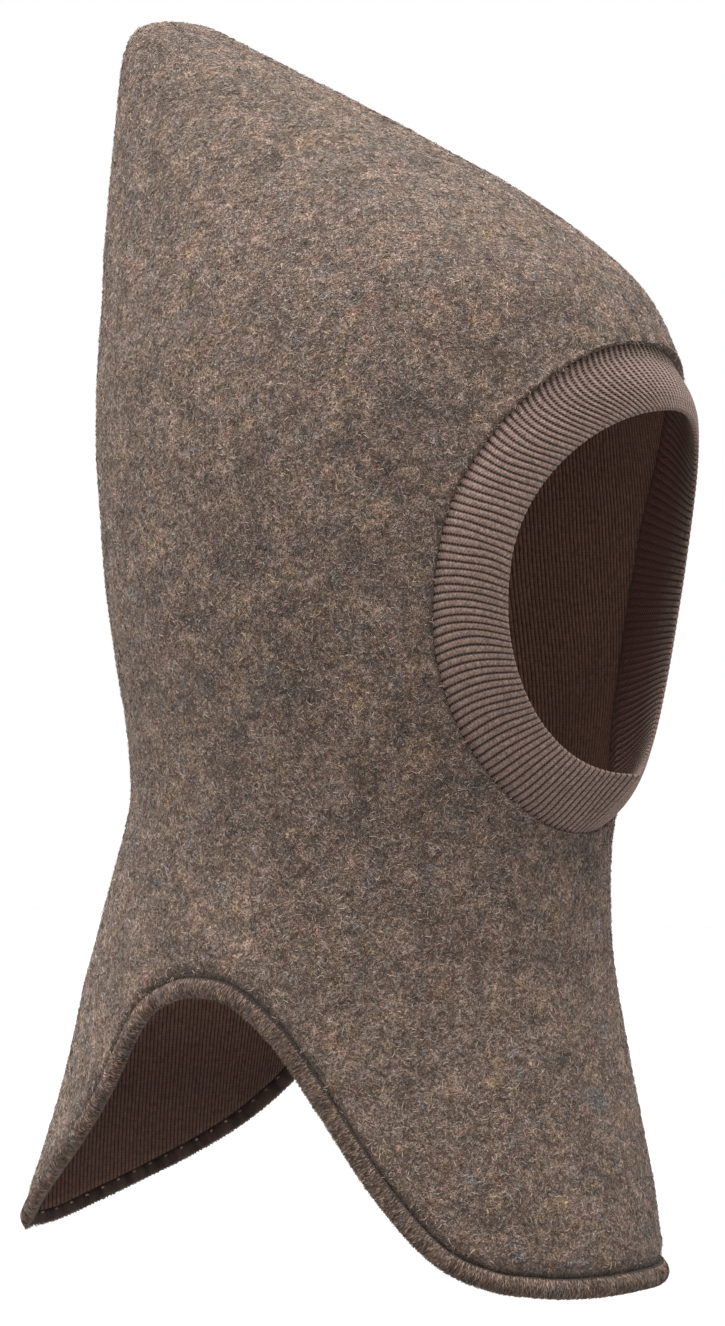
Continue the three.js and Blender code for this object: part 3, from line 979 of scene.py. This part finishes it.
def off_middle(tree, value):
    """How far a number lies from 0.5."""
    return calc(tree, "ABSOLUTE", calc(tree, "SUBTRACT", value, 0.5))


def noise(tree, place, scale, detail, distortion=0.0, roughness=0.5):
    inputs = {"Scale": scale, "Detail": detail, "Roughness": roughness, "Distortion": distortion}
    return new_node(tree, "TexNoise", {"Vector": place, **inputs}).outputs["Fac"]


def shifted(tree, place, offset, upward=1):
    """A place moved by an offset, its height first made greater by a factor."""
    inputs = {"Vector": place, "Scale": (1, 1, upward), "Location": offset}
    return new_node(tree, "Mapping", inputs).outputs[0]


def span(tree, value, low, high, to_low=0.0, to_high=1.0):
    """A number eased from one range into another."""
    inputs = {"From Min": low, "From Max": high, "To Min": to_low, "To Max": to_high}
    node = new_node(tree, "MapRange", {"Value": value, **inputs})
    node.interpolation_type = "SMOOTHSTEP"
    return node.outputs[0]


def ramp(tree, value, stops):
    """A colour between stops of place and colour."""
    node = new_node(tree, "ValToRGB", {"Fac": value})
    colours = node.color_ramp.elements
    while len(colours) < len(stops):
        colours.new(0.5)
    for element, (place, colour) in zip(colours, stops):
        element.position = place
        element.color = (*linear(colour), 1)
    return node.outputs["Color"]


def blend(tree, factor, first, second):
    """A colour that goes from the first to the second as a factor goes from 0 to 1."""
    node = tree.nodes.new("ShaderNodeMix")
    node.data_type = "RGBA"
    sockets = [socket for socket in node.inputs if socket.enabled]
    for socket, value in zip(sockets, (factor, first, second)):
        if isinstance(value, tuple):
            value = (*linear(value), 1)
        connect(tree, socket, value)
    return next(socket for socket in node.outputs if socket.enabled)


def bump(tree, height, distance):
    return new_node(tree, "Bump", {"Height": height, "Distance": distance}).outputs["Normal"]


def linear(colour):
    """A colour given as 0 to 255 on a screen, as the shader's own numbers."""
    share = [value / 255 for value in colour]
    return tuple(s / 12.92 if s <= 0.04045 else ((s + 0.055) / 1.055) ** 2.4 for s in share)


def new_material(name):
    material = bpy.data.materials.new(name)
    material.use_nodes = True
    tree = material.node_tree
    return material, tree, tree.nodes["Principled BSDF"]


def object_place(tree):
    return tree.nodes.new("ShaderNodeTexCoord").outputs["Object"]


def cloth_finish(tree, shader, colour, roughness, sheen, normal=None, tint=(200, 185, 172)):
    """Colour, bump and the matt, slightly furry surface of cloth."""
    inputs = {
        "Base Color": colour, "Roughness": roughness, "Specular IOR Level": 0.15,
        "Sheen Weight": sheen, "Sheen Roughness": 0.5, "Sheen Tint": (*linear(tint), 1),
    }
    if normal is not None:
        inputs["Normal"] = normal
    fill(tree, shader, inputs)


def point_value(tree, name):
    node = tree.nodes.new("ShaderNodeAttribute")
    node.attribute_name = name
    return node.outputs["Fac"]


def curls(tree, place, scale, offset, width):
    """Thin curly lines where a noise crosses its middle value."""
    value = noise(tree, shifted(tree, place, offset), scale, 1.0, 1.4)
    return span(tree, off_middle(tree, value), width, 0.0)


def over(tree, base, mask, strength, colour):
    """A colour laid over a base where a mask is up."""
    return blend(tree, times(tree, mask, strength), base, colour)


def patches(tree, place, scale, offset, strength):
    """A number round 1 that rises and falls in soft patches."""
    value = noise(tree, shifted(tree, place, offset, 1.25), scale, 3, 1.0, 0.6)
    return calc(tree, "MAXIMUM", calc(tree, "MULTIPLY_ADD", value, strength, 1 - strength / 2), 0.2)


def toned(tree, colour, light):
    """A colour made lighter or darker by a number."""
    node = tree.nodes.new("ShaderNodeVectorMath")
    node.operation = "SCALE"
    return fill(tree, node, {0: colour, "Scale": light}).outputs[0]


# Colours of the wool from 0 to 255 as on a screen
MAIN_WOOL = (90, 72, 62)
GOLDEN_WOOL = (107, 85, 62)
BLUISH_WOOL = (78, 73, 73)
RUSTY_WOOL = (97, 64, 52)
PALE_WOOL = (145, 136, 127)
DARK_WOOL = (60, 38, 30)


def melange(tree, place):
    """The mixed wool's own colour: grey-brown with golden, rusty and bluish patches, light and dark."""
    hues = noise(tree, shifted(tree, place, (3, 1, 2), 1.2), 105, 4, 0.8, 0.65)
    base = ramp(tree, hues, [
        (0.32, GOLDEN_WOOL), (0.45, MAIN_WOOL), (0.56, MAIN_WOOL), (0.68, BLUISH_WOOL),
    ])
    reds = noise(tree, shifted(tree, place, (8, 4, 6)), 115, 3, 0.8, 0.55)
    base = over(tree, base, span(tree, reds, 0.54, 0.66), 0.5, RUSTY_WOOL)
    large = patches(tree, place, 70, (0, 0, 0), 2.8)
    small = patches(tree, place, 200, (5, 5, 5), 3.2)
    return toned(tree, base, times(tree, large, small))


# Curly fibres drawn in the cloth: noise scale, offset, line width, and how much lighter or darker
FIBRE_LINES = (
    (480, (7, 2, 5), 0.06, -0.4), (600, (1, 8, 3), 0.06, 0.9), (820, (4, 5, 9), 0.08, -0.6),
    (1000, (9, 9, 1), 0.08, 1.1), (1350, (2, 6, 7), 0.1, -0.6),
)


def fleece_material():
    material, tree, shader = new_material("melange_fleece")
    place = object_place(tree)
    large_tufts = patches(tree, place, 520, (6, 2, 2), 3.2)
    small_tufts = patches(tree, place, 1100, (2, 9, 4), 4.2)
    light = calc(tree, "MULTIPLY_ADD", times(tree, large_tufts, small_tufts), 0.9, 0.05)
    for scale, offset, width, change in FIBRE_LINES:
        light = calc(tree, "MULTIPLY_ADD", curls(tree, place, scale, offset, width), change, light)
    base = toned(tree, melange(tree, place), calc(tree, "MAXIMUM", light, 0.22))
    base = over(tree, base, span(tree, light, 1.1, 2.3), 0.66, PALE_WOOL)
    base = over(tree, base, span(tree, light, 0.75, 0.25), 0.6, DARK_WOOL)
    base = over(tree, base, point_value(tree, "shadow"), 0.75, (28, 20, 17))
    coarse = noise(tree, place, 300, 4, 0.8, 0.7)
    large = curls(tree, place, 520, (1, 8, 3), 0.06)
    lines = calc(tree, "ADD", large, curls(tree, place, 900, (9, 9, 1), 0.07))
    height = calc(tree, "ADD", coarse, times(tree, lines, 0.5))
    cloth_finish(tree, shader, base, 0.95, 0.3, bump(tree, height, 0.0013))
    return material


# How light a loose fibre is against the wool round it, from the darkest to the lightest
FIBRE_LIGHT = (0.2, 2.8)


def nap_material():
    """Loose fibres in the wool's colours, from dark to light."""
    material, tree, shader = new_material("fleece_fibres")
    shade = point_value(tree, "shade")
    colour = toned(tree, melange(tree, object_place(tree)), span(tree, shade, 0, 1, *FIBRE_LIGHT))
    colour = over(tree, colour, span(tree, shade, 0.35, 0.95), 0.78, PALE_WOOL)
    cloth_finish(tree, shader, colour, 0.8, 0.25)
    return material


THREAD_SHADES = [
    (0.0, (52, 41, 36)), (0.35, (84, 68, 60)), (0.65, (112, 94, 83)), (1.0, (142, 124, 112)),
]


def thread_material():
    material, tree, shader = new_material("edge_thread")
    colour = ramp(tree, point_value(tree, "shade"), THREAD_SHADES)
    cloth_finish(tree, shader, colour, 0.75, 0.2)
    return material


def map_place(tree, name):
    """The two numbers of a named map."""
    node = tree.nodes.new("ShaderNodeUVMap")
    node.uv_map = name
    parts = new_node(tree, "SeparateXYZ", {"Vector": node.outputs[0]})
    return parts.outputs["X"], parts.outputs["Y"]


def joined(tree, x, y):
    return new_node(tree, "CombineXYZ", {"X": x, "Y": y}).outputs[0]


def ripples(tree, value, pitch):
    """Rounded ridges from 0 to 1, one to each pitch."""
    return calc(tree, "ABSOLUTE", calc(tree, "SINE", times(tree, value, math.pi / pitch)))


def stitch_height(tree, off_ridge, course, pitch):
    """Slanted stitches that meet in a V on each rib."""
    slant = times(tree, off_ridge, 1.6)
    slanted = calc(tree, "ADD", calc(tree, "DIVIDE", course, pitch), slant)
    return span(tree, off_middle(tree, calc(tree, "FRACT", slanted)), 0.0, 0.42)


# Length of one stitch of the rib band, and width and height of one of the jersey, in millimetres
RIB_STITCH = 0.9
JERSEY_WALE = 1.5
JERSEY_COURSE = 0.9


def rib_material():
    """Rib knit: stitched ribs, painted shade in grooves crossed by rungs of yarn, and a darker inside
    with painted shade.
    """
    material, tree, shader = new_material("rib_knit")
    wale, course = map_place(tree, "knit")
    stretched = point_value(tree, "stretched")
    off_ridge = off_middle(tree, calc(tree, "FRACT", wale))
    stitches = stitch_height(tree, off_ridge, course, RIB_STITCH)
    # Painted shade in the grooves between the ribs, wider where the ribs are drawn apart; the rungs of
    # yarn break it
    groove_shade = span(tree, calc(tree, "MULTIPLY_ADD", stretched, 0.14, off_ridge), 0.25, 0.43)
    ladder = calc(tree, "SINE", times(tree, course, 2 * math.pi / RIB_STITCH))
    rungs = calc(tree, "MULTIPLY_ADD", stretched, 0.3, 0.22)
    dots = calc(tree, "SUBTRACT", 1.0, times(tree, span(tree, ladder, 0.7, -0.9), rungs))
    # The inside is darker: partly a darker reddish yarn, partly painted shade
    inside = span(tree, point_value(tree, "turned"), 1.08, 1.6)
    tone = noise(tree, object_place(tree), 1300, 3, 0.4, 0.6)
    yarn = ramp(tree, tone, [(0.32, (86, 69, 62)), (0.5, (113, 93, 85)), (0.7, (141, 120, 110))])
    yarn = over(tree, yarn, stitches, 0.25, (66, 51, 46))
    yarn = over(tree, yarn, times(tree, groove_shade, dots), 0.96, (29, 19, 17))
    yarn = over(tree, yarn, inside, 0.85, (80, 46, 40))
    height = calc(tree, "ADD", times(tree, stitches, -0.5), times(tree, tone, 0.7))
    cloth_finish(tree, shader, yarn, 0.85, 0.25, bump(tree, height, 0.00025))
    return material


def jersey_material():
    """Fine ribbed jersey with rows of stitches and painted shade: in the valleys between ribs, and
    darker down in the bibs.
    """
    material, tree, shader = new_material("dark_jersey")
    wale, course = map_place(tree, "knit")
    ridge = ripples(tree, wale, JERSEY_WALE)
    rows = ripples(tree, course, JERSEY_COURSE)
    tone = noise(tree, object_place(tree), 800, 3, 0, 0.6)
    base = ramp(tree, tone, [(0.3, (117, 86, 74)), (0.7, (158, 122, 106))])
    # Painted shade in the valleys between the jersey's ribs
    base = over(tree, base, span(tree, ridge, 0.75, 0.1), 0.85, (56, 38, 32))
    base = over(tree, base, span(tree, rows, 0.45, 0.0), 0.3, (68, 48, 40))
    # Painted shade: darker down in the bibs, where little light reaches
    base = toned(tree, base, span(tree, course, -290, -215, 0.3))
    height = calc(tree, "ADD", ridge, times(tree, tone, 0.4))
    cloth_finish(tree, shader, base, 0.9, 0.2, bump(tree, height, 0.0003), (150, 120, 105))
    return material


HEM_STREAKS = [
    (0.3, (32, 24, 21)), (0.45, (60, 48, 42)), (0.58, (86, 71, 63)), (0.72, (120, 104, 93)),
]


def hem_material():
    """Wool streaked across the edge with painted shade along the fleece, brown jersey where the section
    has turned inside.
    """
    material, tree, shader = new_material("overlocked_edge")
    count, row = map_place(tree, "edge")
    streaks = noise(tree, joined(tree, count, times(tree, row, 2.5)), 2.2, 3, 0.5, 0.7)
    base = ramp(tree, streaks, HEM_STREAKS)
    # Painted shade in the groove where the roll tucks under the fleece
    base = over(tree, base, span(tree, row, 0.14, 0.04), 0.85, (24, 17, 15))
    lumps = noise(tree, joined(tree, times(tree, count, 0.3), row), 1.0, 2)
    dark = ramp(tree, lumps, [(0.35, (30, 20, 17)), (0.65, (60, 44, 38))])
    base = blend(tree, span(tree, row, HEM_TURN + 0.01, HEM_TURN + 0.07), base, dark)
    cloth_finish(tree, shader, base, 0.95, 0.3, bump(tree, streaks, 0.0007))
    return material


def floor_material():
    material, tree, shader = new_material("studio_floor")
    fill(tree, shader, {"Base Color": FLOOR_COLOUR, "Roughness": 0.9})
    return material


# Camera, light and floor

def make_camera():
    data = bpy.data.cameras.new("camera")
    data.lens = CAMERA_LENS
    data.sensor_width = 36
    data.clip_start = 0.05
    camera = bpy.data.objects.new("camera", data)
    bpy.context.scene.collection.objects.link(camera)
    turn = math.radians(CAMERA_AZIMUTH)
    away = Vector((math.sin(turn), -math.cos(turn), 0)) * CAMERA_DISTANCE
    camera.location = Vector(CAMERA_TARGET) + away
    camera.rotation_euler = (-away).to_track_quat("-Z", "Y").to_euler()
    bpy.context.scene.camera = camera


def wide_lamp(name, power, tilt):
    data = bpy.data.lights.new(name, "SUN")
    data.energy = power
    data.angle = SKY_ANGLE
    light = bpy.data.objects.new(name, data)
    light.rotation_euler = [math.radians(degrees) for degrees in tilt]
    bpy.context.scene.collection.objects.link(light)


def make_studio():
    world = bpy.data.worlds.new("studio_world")
    world.use_nodes = True
    tree = world.node_tree
    fill(tree, tree.nodes["Background"], {"Color": (1, 1, 1, 1), "Strength": 1.0})
    bpy.context.scene.world = world
    bpy.context.scene.view_settings.view_transform = "Standard"
    wide_lamp("overhead", SKY_POWER, SKY_TILT)
    wide_lamp("side", SIDE_POWER, SIDE_TILT)
    corners = np.array([(-1, -1), (1, -1), (1, 1), (-1, 1)]) * FLOOR_REACH
    points = np.column_stack([corners, np.full(4, FLOOR_HEIGHT)]) / MM
    floor = new_object("floor", points, [np.array([[0, 1, 2, 3]])], floor_material())


def finish_piece(made, slot, *nodes):
    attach(made, "root")
    if nodes:
        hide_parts(*nodes)
    return made


def build():
    make_camera()
    make_studio()
    fleece = fleece_material()
    fibres = nap_material()
    thread = thread_material()
    jersey = jersey_material()
    grids = dressed_grid()
    for side, mirror, seed in (("left", False, 51), ("right", True, 61)):
        cloth = fleece_half(f"{side}_fleece", grids, fleece, mirror)
        nap = nap_half(f"{side}_nap", grids, fibres, mirror, seed)
        lining = lining_half(f"{side}_lining", jersey, mirror)
        finish_piece(cloth, "melange_fleece", f"fleece_{side}")
        finish_piece(nap, "melange_fleece")
        finish_piece(lining, "dark_jersey", f"lining_{side}")
    band = finish_piece(rib_band(rib_material()), "rib_knit", "rib_band")
    edge = hem_rings()
    finish_piece(rolled_hem(edge, hem_material()), "overlocked_edge", "hem")
    for made in (hem_nap(edge, fibres), edge_threads(edge, thread), inside_stitches(edge, thread)):
        finish_piece(made, "overlocked_edge")


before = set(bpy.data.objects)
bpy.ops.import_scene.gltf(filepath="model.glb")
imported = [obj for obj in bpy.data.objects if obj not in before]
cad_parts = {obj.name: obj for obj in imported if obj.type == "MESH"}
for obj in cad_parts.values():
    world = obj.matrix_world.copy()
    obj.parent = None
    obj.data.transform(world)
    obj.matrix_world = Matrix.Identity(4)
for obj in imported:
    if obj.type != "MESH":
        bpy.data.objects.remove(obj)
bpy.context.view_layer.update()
build()
